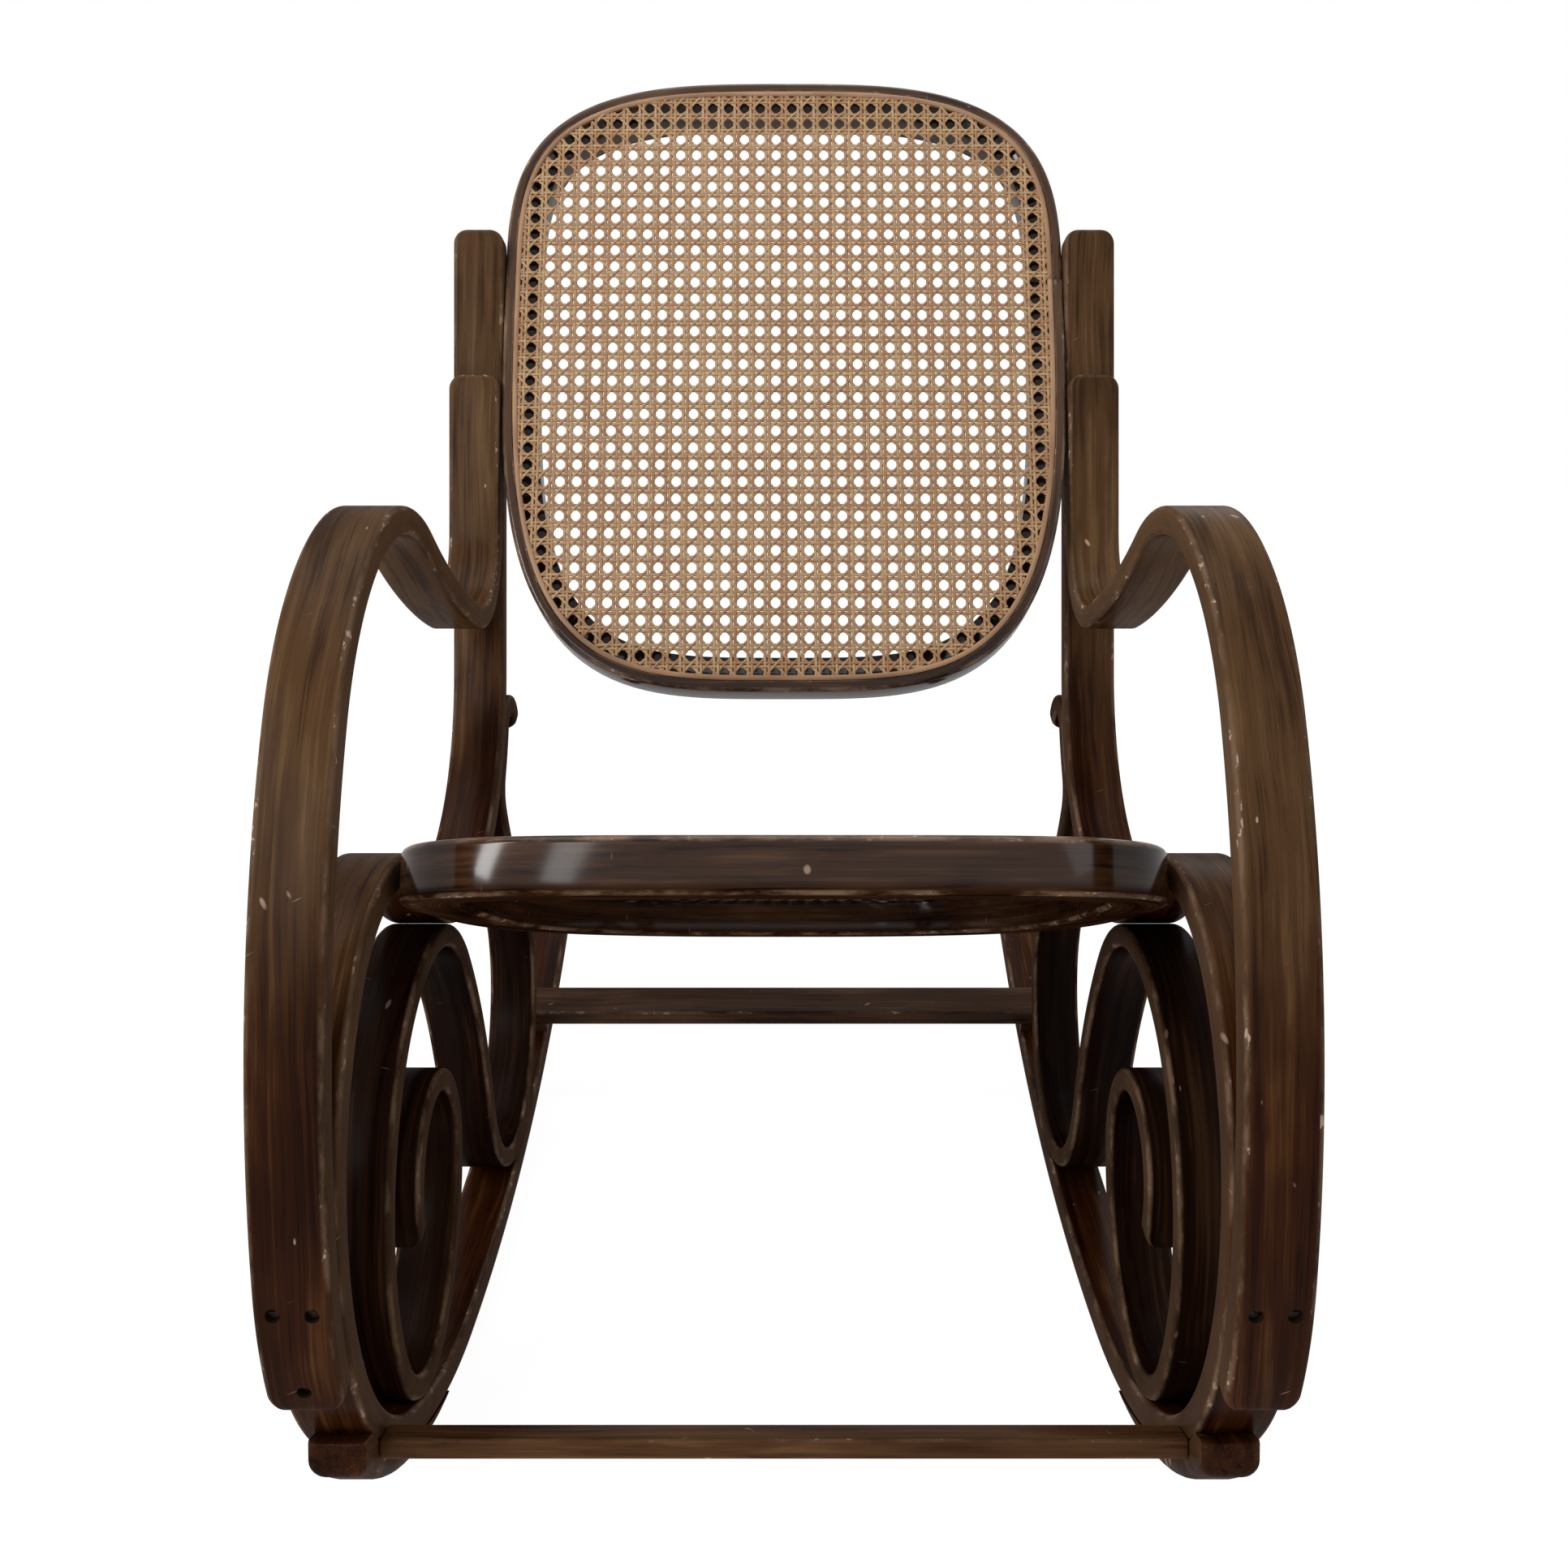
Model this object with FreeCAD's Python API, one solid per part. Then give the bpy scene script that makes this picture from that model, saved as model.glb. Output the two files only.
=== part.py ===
import FreeCAD, Part
import math, os

os.makedirs("parts", exist_ok=True)

V = FreeCAD.Vector

# Bentwood rocking chair, sizes in millimetres.
# The side outline is drawn with the back posts upright: y runs backwards from the
# middle of the post, z runs up. At the end the whole chair is tipped back by
# rest_tilt, the attitude in which it balances on its rockers, and set on the floor.

rest_tilt = 16.66         # degrees the posts lean back when the empty chair stands still
frame_half = 219.5        # middle of the chair to the inner side of each bent frame
strip_width = 39.0        # all bent strips are cut to the same width
edge_round = 3.0          # rounding of the long edges of the strips
tip_round = 11.0          # rounding of the strip ends, seen on their broad face
snug = 0.3                # side gap between a ring and the frame that holds it

# The strips, given as a run of bends. A bend is (radius, turn in degrees), with the
# turn positive to the left of the way the strip runs; a straight run is (0, length).
band_thick = 19.0
post_top = 839.0
post_straight = 346.0
post_bend = 172.0
loop_bend = 178.5
rocker_bend = 1115.0
band_bends = [
    (0, post_straight),
    (post_bend, -117.5),      # from the post forward, below the seat
    (128.5, 86.5),            # hump beside the front of the seat
    (loop_bend, 108.0),       # front loop down to the floor
    (405.0, 25.0),            # front of the rocker
    (rocker_bend, 31.0),      # rocker
]

arm_thick = 17.0
arm_top = 721.0
arm_foot_heading = -57.0      # direction of the loop where the foot of the arm ends
arm_sweep = [
    (loop_bend + (band_thick + arm_thick) / 2, -21.5),   # foot, laid on the loop
    (540.0, -29.5),
    (192.0, -42.0),
    (132.5, -48.0),           # front of the arm rest
    (560.0, 16.5),            # arm rest
]

scroll_thick = 15.0
scroll_heading = -103.0       # direction of the post bend where the scroll lies on it
scroll_bends = [
    (post_bend + (band_thick + scroll_thick) / 2, -12.0),
    (28.5, 64.5),
    (231.0, 27.0),
    (99.5, -67.0),
    (134.7, -42.0),
    (98.5, -113.0),           # trough, resting on the rocker
    (334.8, 26.0),
    (108.5, 53.5),            # arch under the seat
    (149.0, 117.5),
    (68.2, 76.5),             # foot of the spiral, resting in the loop
    (49.0, 5.0),
    (129.0, 59.5),
    (56.0, 214.0),            # eye of the spiral
]
curl_bend = 25.0              # small curl at the top end of the scroll
curl_turn = 150.0

toe_heading = -46.0           # direction of the loop where the toe block starts
toe_end_heading = 2.0
toe_depths = (12.5, 2.0)      # below the band: in the middle, at the rear end
toe_front = 29.5              # height of the front face
toe_width = 31.0

# seat and back: bent rings with a rebate for the cane and a groove for its spline
seat_slope = 8.4              # the seat falls this much towards the back
seat_front = (-429.0, 379.4)  # top of the front edge, in the side outline
seat_depths = (195.0, 250.0)  # widest point to the front, to the rear
seat_powers = (4.5, 2.8)      # squareness of the front and rear half of the outline
seat_ring_tall = 31.0
seat_ring_wide = 33.0
back_lean = 10.9
back_middle = (-18.0, 722.7)  # middle of the front face, in the side outline
back_wide_up = 80.0           # the back is widest this much above its middle
back_half_tall = 253.0
back_powers = (3.6, 3.2)      # squareness of the lower and upper half
back_ring_deep = 29.0
back_ring_wide = 27.0

rim = 8.0                     # wood outside the groove
groove = 4.5
groove_deep = 7.0
spline_proud = 0.5
cane_thick = 1.8
cane_pitch = 25.4             # the net is drawn with every second gap of the half-inch cane
cane_gap = 15.0

front_bar = (11.0, 21.0)      # height and depth of the front stretcher
front_bar_at = (-370.0, 45.0)
rear_bar = (15.0, 37.0)       # thickness and width of the rear stretcher
rear_bar_heading = 32.55      # direction of the rocker where the bar lies across
bar_block = 10.0              # packing block between the rocker and the bar

back_screws_at = ((0.5, 745.0), (4.5, 783.0))   # where they enter the posts
screw_shank = 2.2             # radii
screw_head = 4.6
head_deep = 2.6
outline_points = 36


def unit(heading):
    a = math.radians(heading)
    return (math.cos(a), math.sin(a))


def left_of(heading):
    c, s = unit(heading)
    return (-s, c)


def shift(point, direction, distance):
    return (point[0] + direction[0] * distance, point[1] + direction[1] * distance)


def along(start, heading, bend, share):
    # point and heading after a share of one bend
    radius, amount = bend
    if radius == 0:
        return shift(start, unit(heading), amount * share), heading
    side = math.copysign(1, amount)
    centre = shift(start, left_of(heading), side * radius)
    turned = heading + amount * share
    return shift(centre, left_of(turned), -side * radius), turned


def trace(start, heading, bends):
    # list of (start point, start heading, bend) for a run of bends
    run = []
    for bend in bends:
        run.append((start, heading, bend))
        start, heading = along(start, heading, bend, 1.0)
    return run


def station(run, index, share):
    return along(*run[index], share)


def heading_share(run, index, heading):
    start_heading, bend = run[index][1], run[index][2]
    return (heading - start_heading) / bend[1]


def offset_edge(piece, distance, x, a=0.0, b=1.0):
    ends = []
    for share in (a, (a + b) / 2, b):
        point, heading = along(*piece, share)
        p = shift(point, left_of(heading), distance)
        ends.append(V(x, p[0], p[1]))
    if piece[2][0] == 0:
        return Part.LineSegment(ends[0], ends[2]).toShape()
    return Part.Arc(*ends).toShape()


def closed_face(edges):
    return Part.Face(Part.Wire(Part.__sortEdges__(edges)))


def line(a, b):
    return Part.LineSegment(a, b).toShape()


def strip(run, thickness):
    # a bent strip of constant thickness with rounded ends and edges, at the right side
    x = frame_half
    half = thickness / 2
    outer = [offset_edge(piece, half, x) for piece in run]
    inner = [offset_edge(piece, -half, x) for piece in run]
    caps = []
    for share, piece in ((0.0, run[0]), (1.0, run[-1])):
        point, heading = along(*piece, share)
        a = shift(point, left_of(heading), half)
        b = shift(point, left_of(heading), -half)
        caps.append(line(V(x, *a), V(x, *b)))
    solid = closed_face(outer + inner + caps).extrude(V(strip_width, 0, 0))
    tips = []
    for edge in solid.Edges:
        if abs(edge.Length - thickness) < 0.01 and len(edge.Vertexes) == 2:
            tips.append(edge)
    solid = solid.makeFillet(tip_round, tips)
    side_planes = (frame_half, frame_half + strip_width)
    rims = []
    for edge in solid.Edges:
        box = edge.BoundBox
        if box.XLength < 0.01 and min(abs(box.XMin - s) for s in side_planes) < 0.01:
            rims.append(edge)
        elif tip_edge(edge, run, half):
            rims.append(edge)
    return solid.makeFillet(edge_round, rims)


def tip_edge(edge, run, half):
    # edges of the end faces, across the width and round the rounded corners
    middle = edge.valueAt((edge.FirstParameter + edge.LastParameter) / 2)
    for share, piece in ((0.0, run[0]), (1.0, run[-1])):
        point, heading = along(*piece, share)
        side = left_of(heading)
        off = (middle.y - point[0]) * side[0] + (middle.z - point[1]) * side[1]
        back = (middle.y - point[0]) * unit(heading)[0] + (middle.z - point[1]) * unit(heading)[1]
        if abs(abs(off) - half) < 0.5 and abs(back) < tip_round and edge.BoundBox.XLength > 1:
            return True
    return False


def screw(head, direction, length):
    # countersunk wood screw: head lies flush at the given point
    aim = V(*direction)
    aim.normalize()
    cone = Part.makeCone(screw_head, screw_shank, head_deep, V(*head), aim)
    shank = Part.makeCylinder(screw_shank, length, V(*head), aim)
    return cone.fuse(shank).removeSplitter()


def both_sides(shape):
    return [shape, shape.mirror(V(0, 0, 0), V(1, 0, 0))]


def outline(half_wide, near, far, powers, inset):
    # closed oval made of two half superellipses, near part towards -y
    points = []
    for i in range(outline_points):
        a = 2 * math.pi * i / outline_points
        c, s = math.cos(a), math.sin(a)
        depth, power = (far, powers[1]) if s >= 0 else (near, powers[0])
        on_edge = V(math.copysign(abs(c) ** (2 / power), c) * half_wide,
                    math.copysign(abs(s) ** (2 / power), s) * depth, 0)
        inward = V(-math.copysign(abs(c) ** (2 - 2 / power), c) / half_wide,
                   -math.copysign(abs(s) ** (2 - 2 / power), s) / depth, 0)
        points.append(on_edge + inward.normalize() * inset)
    curve = Part.BSplineCurve()
    curve.interpolate(points, PeriodicFlag=True)
    return Part.Wire(curve.toShape())


def slab(wire, low, high):
    face = Part.Face(wire)
    face.translate(V(0, 0, low))
    return face.extrude(V(0, 0, high - low))


def caned_ring(shape_of, tall, wide):
    # ring with its front or top face at z = 0; returns ring, spline and cane
    ring = slab(shape_of(0), -tall, 0).cut(slab(shape_of(wide), -tall, 0))
    outer = [e for e in ring.Edges if e.BoundBox.XLength > 2 * (frame_half - 5)]
    ring = ring.makeFillet(4.0, outer)
    channel = slab(shape_of(rim), -groove_deep, 0).cut(slab(shape_of(rim + groove), -groove_deep, 0))
    rebate = slab(shape_of(rim), -cane_thick, 0)
    ring = ring.cut(channel).cut(rebate)
    spline = slab(shape_of(rim), -groove_deep, spline_proud).cut(
        slab(shape_of(rim + groove), -groove_deep, spline_proud))
    border = shape_of(rim + groove)
    box = border.BoundBox
    holes = []
    columns = int(box.XMax // cane_pitch)
    rows = range(int(box.YMin // cane_pitch), int(box.YMax // cane_pitch) + 1)
    field = Part.Face(shape_of(wide + cane_gap / 2 + 1.0))
    for i in range(-columns, columns + 1):
        for j in rows:
            centre = V(i * cane_pitch, j * cane_pitch, 0)
            if field.isInside(centre, 0.01, True):
                holes.append(octagon(centre))
    net = Part.Face([border] + holes)
    net.validate()
    net.translate(V(0, 0, -cane_thick))
    return ring, spline, net.extrude(V(0, 0, cane_thick))


def octagon(centre):
    half = cane_gap / 2
    clip = cane_gap * 0.29
    corners = []
    for sx, sy, first in ((1, 1, 0), (-1, 1, 1), (-1, -1, 0), (1, -1, 1)):
        pair = [V(sx * half, sy * (half - clip), 0), V(sx * (half - clip), sy * half, 0)]
        corners += pair if first == 0 else pair[::-1]
    corners = [centre + c for c in corners]
    return Part.makePolygon(corners + corners[:1])


def tilted(shape, degrees, at):
    # turns a flat piece about the x axis and puts its origin at a point of the outline
    moved = shape.copy()
    moved.rotate(V(0, 0, 0), V(1, 0, 0), degrees)
    moved.translate(V(0, at[0], at[1]))
    return moved


# bent side frame, drawn for the right side
band_run = trace((0.0, post_top), -90.0, band_bends)
band = strip(band_run, band_thick)

loop, loop_share = 3, heading_share(band_run, 3, arm_foot_heading)
foot, foot_heading = station(band_run, loop, loop_share)
lap = (band_thick + arm_thick) / 2
foot = shift(foot, left_of(foot_heading), -lap)
arm_run = trace(foot, foot_heading + 180.0, arm_sweep)
rest_end, rest_heading = station(arm_run, -1, 1.0)
rise = 90.0 - rest_heading
elbow = (-lap - rest_end[0]) / (1 - math.sin(math.radians(rest_heading)))
arm_run += trace(rest_end, rest_heading, [(elbow, rise)])
elbow_end, up = station(arm_run, -1, 1.0)
arm_run += trace(elbow_end, up, [(0, arm_top - elbow_end[1])])
arm = strip(arm_run, arm_thick)

post_share = heading_share(band_run, 1, scroll_heading)
scroll_start, scroll_way = station(band_run, 1, post_share)
scroll_start = shift(scroll_start, left_of(scroll_way), (band_thick + scroll_thick) / 2)
curl_back = trace(scroll_start, scroll_way + 180.0, [(curl_bend, -curl_turn)])
curl_tip, tip_way = station(curl_back, 0, 1.0)
scroll_run = trace(curl_tip, tip_way + 180.0, [(curl_bend, curl_turn)] + scroll_bends)
scroll = strip(scroll_run, scroll_thick)

# toe block under the front of the loop, its top hollowed to fit the band
start_share = heading_share(band_run, 3, toe_heading)
end_share = heading_share(band_run, 4, toe_end_heading)
x_toe = frame_half
top_edges = [
    offset_edge(band_run[3], -band_thick / 2, x_toe, start_share, 1.0),
    offset_edge(band_run[4], -band_thick / 2, x_toe, 0.0, end_share),
]


def under_band(index, share, depth):
    point, heading = station(band_run, index, share)
    p = shift(point, left_of(heading), -band_thick / 2 - depth)
    return V(x_toe, p[0], p[1])


toe_top = under_band(3, start_share, 0)
toe_bottom = toe_top + V(0, 0, -toe_front)
toe_middle = under_band(4, 0.0, toe_depths[0])
toe_rear = under_band(4, end_share, toe_depths[1])
toe_edges = top_edges + [
    line(toe_top, toe_bottom),
    Part.Arc(toe_bottom, toe_middle, toe_rear).toShape(),
    line(toe_rear, under_band(4, end_share, 0)),
]
toe = closed_face(toe_edges).extrude(V(toe_width, 0, 0))
front_edges = [e for e in toe.Edges if e.BoundBox.YMax < toe_bottom.y + 0.5]
toe = toe.makeFillet(4.5, [e for e in front_edges if e.BoundBox.ZMin < toe_top.z - 1])

# seat and back
seat_middle = shift(seat_front, unit(-seat_slope), seat_depths[0])
ring_half = frame_half - snug


def seat_outline(inset):
    return outline(ring_half, seat_depths[0], seat_depths[1], seat_powers, inset)


def back_outline(inset):
    wire = outline(ring_half, back_half_tall + back_wide_up,
                   back_half_tall - back_wide_up, back_powers, inset)
    wire.translate(V(0, back_wide_up, 0))
    return wire


seat = [tilted(s, -seat_slope, seat_middle)
        for s in caned_ring(seat_outline, seat_ring_tall, seat_ring_wide)]
back = [tilted(s, 90.0 - back_lean, back_middle)
        for s in caned_ring(back_outline, back_ring_deep, back_ring_wide)]
seat_ring, seat_spline, seat_cane = seat
back_ring, back_spline, back_cane = back

# stretchers
front_stretcher = Part.makeBox(2 * frame_half, front_bar[1], front_bar[0],
                               V(-frame_half, front_bar_at[0] - front_bar[1] / 2,
                                 front_bar_at[1] - front_bar[0] / 2))
front_stretcher = front_stretcher.makeFillet(
    2.5, [e for e in front_stretcher.Edges if e.BoundBox.XLength > 1])

bar_share = heading_share(band_run, 5, rear_bar_heading)
bar_base, bar_heading = station(band_run, 5, bar_share)
bar_low = band_thick / 2 + bar_block
overall = frame_half + strip_width
rear_stretcher = Part.makeBox(2 * overall - 8, rear_bar[1], rear_bar[0],
                              V(-overall + 4, -rear_bar[1] / 2, bar_low))
rear_stretcher = rear_stretcher.makeFillet(
    2.5, [e for e in rear_stretcher.Edges if e.BoundBox.XLength > 1])
rear_stretcher = tilted(rear_stretcher, bar_heading, bar_base)
block = Part.makeBox(strip_width - 4, rear_bar[1] - 6, bar_block + 3,
                     V(frame_half + 0.2, 3 - rear_bar[1] / 2, band_thick / 2 - 3))
block = tilted(block, bar_heading, bar_base).cut(band)
blocks = both_sides(max(block.Solids, key=lambda s: s.Volume))

# screws, drawn for the right side and mirrored
middle_x = frame_half + strip_width / 2


def strip_screw(run, index, share, side, x, length, thickness):
    # from one face of a strip straight into what it lies on; side +1 is its left face
    point, heading = station(run, index, share)
    out = left_of(heading)
    head = shift(point, out, side * thickness / 2)
    return screw((x, head[0], head[1]), (0, -side * out[0], -side * out[1]), length)


arm_foot = [strip_screw(arm_run, 0, share, 1, frame_half + across, 30.0, arm_thick)
            for share, across in ((0.82, 9.7), (0.82, 29.0), (0.2, 19.0))]
arm_post = [screw((middle_x, band_thick / 2, z), (0, -1, 0), 31.0) for z in (690.0, 630.0)]
ring_length = strip_width + 18.0
back_screws = [screw((overall, y, z), (-1, 0, 0), ring_length) for y, z in back_screws_at]
hump, _ = station(band_run, 2, 0.42)
dip, _ = station(band_run, 1, 0.77)
seat_screws = [screw((overall, p[0], p[1]), (-1, 0, 0), ring_length + 5) for p in (hump, dip)]


def nearest_touch(run, index, other):
    # share along a bend where it comes closest to the middle line of another strip
    best = None
    for i in range(201):
        share = i / 200
        point, _ = station(run, index, share)
        gap = min(abs(math.dist(point, centre) - radius) for centre, radius in other)
        if best is None or gap < best[0]:
            best = (gap, share)
    return best[1]


def bend_circles(run, indices):
    circles = []
    for k in indices:
        start, heading, (radius, amount) = run[k]
        centre = shift(start, left_of(heading), math.copysign(radius, amount))
        circles.append((centre, radius))
    return circles


scroll_screws = [
    strip_screw(scroll_run, 1, 0.4, 1, middle_x, 28.0, scroll_thick),
    strip_screw(scroll_run, 6, nearest_touch(scroll_run, 6, bend_circles(band_run, [5])),
                -1, middle_x, 28.0, scroll_thick),
    strip_screw(scroll_run, 8, nearest_touch(scroll_run, 8, bend_circles(band_run, [1])),
                1, middle_x, 28.0, scroll_thick),
    strip_screw(scroll_run, 10, nearest_touch(scroll_run, 10, bend_circles(band_run, [4])),
                1, middle_x, 28.0, scroll_thick),
]
rear_from_below = strip_screw(band_run, 5, bar_share, -1, middle_x, 40.0, band_thick)
front_through = screw((overall, front_bar_at[0], front_bar_at[1] + 2), (-1, 0, 0),
                      strip_width + 25.0)


def toe_screw(index, share, depth):
    point, heading = station(band_run, index, share)
    out = left_of(heading)
    head = shift(point, out, -band_thick / 2 - depth)
    return screw((frame_half + toe_width / 2, head[0], head[1]),
                 (0, out[0], out[1]), depth + 14.0)


toe_screws = [toe_screw(3, start_share * 0.5 + 0.5, 14.0), toe_screw(4, end_share * 0.35, 9.0)]

groups = {
    "arm_foot_screws": arm_foot,
    "arm_post_screws": arm_post,
    "back_ring_screws": back_screws,
    "seat_ring_screws": seat_screws,
    "scroll_screws": scroll_screws,
    "stretcher_screws": [rear_from_below, front_through],
    "toe_screws": toe_screws,
}


def drilled(shape, names):
    tools = []
    for name in names:
        for one in groups[name]:
            tools += both_sides(one)
    for tool in tools:
        if shape.BoundBox.intersect(tool.BoundBox):
            shape = shape.cut(tool)
    return shape


right = {
    "side_band": drilled(band, groups),
    "arm": drilled(arm, ("arm_foot_screws", "arm_post_screws")),
    "scroll": drilled(scroll, ("scroll_screws",)),
    "toe_block": drilled(toe, ("toe_screws",)),
}
parts = {}
for name, shape in right.items():
    parts["right_" + name], parts["left_" + name] = both_sides(shape)
parts["seat_ring"] = drilled(seat_ring, ("seat_ring_screws",))
parts["seat_spline"] = seat_spline
parts["seat_cane"] = seat_cane
parts["back_ring"] = drilled(back_ring, ("back_ring_screws",))
parts["back_spline"] = back_spline
parts["back_cane"] = back_cane
parts["front_stretcher"] = drilled(front_stretcher, ("stretcher_screws",))
parts["rear_stretcher"] = drilled(rear_stretcher, ("stretcher_screws",))
parts["stretcher_blocks"] = Part.Compound([drilled(b, ("stretcher_screws",)) for b in blocks])
for name, screws in groups.items():
    parts[name] = Part.Compound([half for one in screws for half in both_sides(one)])

# tip the chair back and set it on the floor, its box centred front to back
for name in parts:
    parts[name] = parts[name].copy()
    parts[name].rotate(V(0, 0, 0), V(1, 0, 0), -rest_tilt)
everything = Part.Compound(list(parts.values()))
box = everything.optimalBoundingBox(True, False)
settle = V(0, -(box.YMin + box.YMax) / 2, -box.ZMin)
for name, shape in parts.items():
    shape.translate(settle)
    shape.exportStep("parts/" + name + ".step")
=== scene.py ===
import bmesh, bpy, cmath, math
from mathutils import Matrix, Vector
from mathutils.bvhtree import BVHTree
from mathutils.interpolate import poly_3d_calc


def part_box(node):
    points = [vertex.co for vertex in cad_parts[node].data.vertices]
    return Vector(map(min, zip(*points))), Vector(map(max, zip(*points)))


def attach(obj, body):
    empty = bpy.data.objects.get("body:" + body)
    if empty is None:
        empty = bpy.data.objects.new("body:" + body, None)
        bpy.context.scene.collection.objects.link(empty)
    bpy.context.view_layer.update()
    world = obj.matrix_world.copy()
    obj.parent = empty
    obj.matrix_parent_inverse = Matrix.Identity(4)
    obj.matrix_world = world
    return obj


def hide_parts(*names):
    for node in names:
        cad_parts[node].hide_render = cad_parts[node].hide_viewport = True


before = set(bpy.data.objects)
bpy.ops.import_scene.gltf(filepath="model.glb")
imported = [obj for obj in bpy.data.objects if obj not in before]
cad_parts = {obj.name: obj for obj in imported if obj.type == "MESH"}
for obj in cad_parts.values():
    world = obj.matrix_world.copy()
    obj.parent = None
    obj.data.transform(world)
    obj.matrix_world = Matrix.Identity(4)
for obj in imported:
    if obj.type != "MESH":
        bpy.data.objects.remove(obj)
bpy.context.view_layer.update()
print("frame loaded,", len(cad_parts), "nodes")

# The chair is drawn as in its side elevation, with the posts upright: u runs backwards from
# the middle of the post and v runs up, both in millimetres. It then leans back by restLean.
chair = {
    "restLean": 16.66,
    "frameHalf": 219.5,        # middle of the chair to the inner side of a bent frame
    "stripWidth": 39.0,
    "bandThick": 19.0,
    "armThick": 17.0,
    "scrollThick": 15.0,
    "edgeRound": 3.4,
    "tipRound": 11.0,
    "tipWear": 4.0,            # reach of the wear round a strip's end
}
lean = math.radians(chair["restLean"])
sharpAngle = math.radians(50)      # between faces, where an edge isn't smoothed


class Wire:
    # one output of a node; sums on it are written as plain sums
    def __init__(self, graph, socket):
        self.graph, self.socket = graph, socket

    def calc(self, operation, *others):
        return self.graph.add("Math", {"operation": operation}, dict(enumerate((self, *others))))

    def __rsub__(self, other):
        return self.graph.add("Math", {"operation": "SUBTRACT"}, {0: other, 1: self})

    def most(self, other):
        return self.calc("MAXIMUM", other)

    def also(self, name):
        return Wire(self.graph, self.graph.find(self.socket.node.outputs, name))

    def ramp(self, low, high):
        # 0 below low, 1 above high, eased in between
        return self.graph.add("MapRange", {"interpolation_type": "SMOOTHSTEP"},
                              {"Value": self, "From Min": low, "From Max": high})


for method, operation in (("add", "ADD"), ("radd", "ADD"), ("sub", "SUBTRACT"),
                          ("mul", "MULTIPLY"), ("truediv", "DIVIDE"), ("pow", "POWER"),
                          ("gt", "GREATER_THAN"), ("lt", "LESS_THAN"), ("abs", "ABSOLUTE")):
    setattr(Wire, "__%s__" % method,
            lambda wire, *others, operation=operation: wire.calc(operation, *others))


families = "ShaderNode", "GeometryNode", "FunctionNode", ""


class Graph:
    # a node tree; nodes are named without their family
    def __init__(self, tree):
        self.tree = tree

    def find(self, sockets, name):
        if isinstance(name, int):
            return sockets[name]
        exact = [s for s in sockets if s.identifier == name]
        return (exact or [s for s in sockets if s.name == name and s.enabled])[0]

    def add(self, kind, *tables, out=0):
        # tables are the sockets' values, or the node's settings and then those
        settings, sockets = ({}, {}, *tables)[-2:]
        family = next(f for f in families if hasattr(bpy.types, f + kind))
        node = self.tree.nodes.new(family + kind)
        for name, value in settings.items():
            if name == "keep":
                for label, form in value.items():
                    node.capture_items.new(form, label)
            else:
                setattr(node, name, value)
        for name, value in sockets.items():
            socket = self.find(node.inputs, name)
            if isinstance(value, Wire):
                self.tree.links.new(value.socket, socket)
            else:
                socket.default_value = (*value, 1) if socket.type == "RGBA" else value
        return Wire(self, self.find(node.outputs, out)) if len(node.outputs) else node

    def position(self):
        return self.add("InputPosition")

    def spot(self):
        return self.add("TexCoord", out="Object")

    def attribute(self, label, out="Fac"):
        return self.add("Attribute", {"attribute_name": label}, {}, out=out)

    def grain(self):
        return self.parts(self.attribute("grain", "Vector"))

    def vector(self, x, y, z):
        return self.add("CombineXYZ", {0: x, 1: y, 2: z})

    def parts(self, vector):
        split = self.add("SeparateXYZ", {0: vector})
        return split, split.also("Y"), split.also("Z")

    def mixed(self, factor, first, second):
        return self.add("Mix", {"data_type": "RGBA"},
                        {"Factor_Float": factor, "A_Color": first, "B_Color": second},
                        out="Result_Color")

    def noise(self, vector, detail=2.0, rough=0.5, scale=1.0):
        return self.add("TexNoise", {
            "Vector": vector, "Scale": scale, "Detail": detail, "Roughness": rough}, out="Fac")

    def bump(self, strength, distance, height):
        return self.add("Bump", {"Strength": strength, "Distance": distance, "Height": height})

    def stored(self, body, label, value, form="FLOAT"):
        # the body with a value kept on its points
        return self.add("StoreNamedAttribute", {"data_type": form, "domain": "POINT"},
                        {"Geometry": body, "Name": label, "Value": value})

    def swept(self, path, section):
        return self.add("CurveToMesh", {
            "Curve": path, "Profile Curve": section, "Fill Caps": True})


def cleared(holder):
    # the emptied node tree of a material or world
    holder.use_nodes = True
    holder.node_tree.nodes.clear()
    return Graph(holder.node_tree)


def finish(name, build):
    # a material whose principled shader takes the sockets that build returns
    material = bpy.data.materials.new(name)
    graph = cleared(material)
    shader = graph.add("BsdfPrincipled", build(graph))
    graph.add("OutputMaterial", {"Surface": shader})
    return material


def growth(name, inputs):
    # a geometry tree and its inputs, whose names are listed by kind
    tree = bpy.data.node_groups.new(name, "GeometryNodeTree")
    for kind, labels in {"Geometry": "Geometry", **inputs, "Material": "Material"}.items():
        for label in labels.split(", "):
            tree.interface.new_socket(label, in_out="INPUT", socket_type="NodeSocket" + kind)
    tree.interface.new_socket("Geometry", in_out="OUTPUT", socket_type="NodeSocketGeometry")
    graph = Graph(tree)
    first = graph.add("NodeGroupInput")
    return graph, {s.name: Wire(graph, s) for s in first.socket.node.outputs if s.name}


def closeGrowth(graph, geometry, given):
    real = graph.add("RealizeInstances", {0: geometry})
    dressed = graph.add("SetMaterial", {"Geometry": real, "Material": given["Material"]})
    graph.add("NodeGroupOutput", {0: dressed})
    return graph.tree


def linked(name, data):
    piece = bpy.data.objects.new(name, data)
    bpy.context.scene.collection.objects.link(piece)
    return piece


def meshOf(piece):
    # a new mesh with the piece's modifiers applied
    ready = piece.evaluated_get(bpy.context.evaluated_depsgraph_get())
    return bpy.data.meshes.new_from_object(ready)


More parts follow.
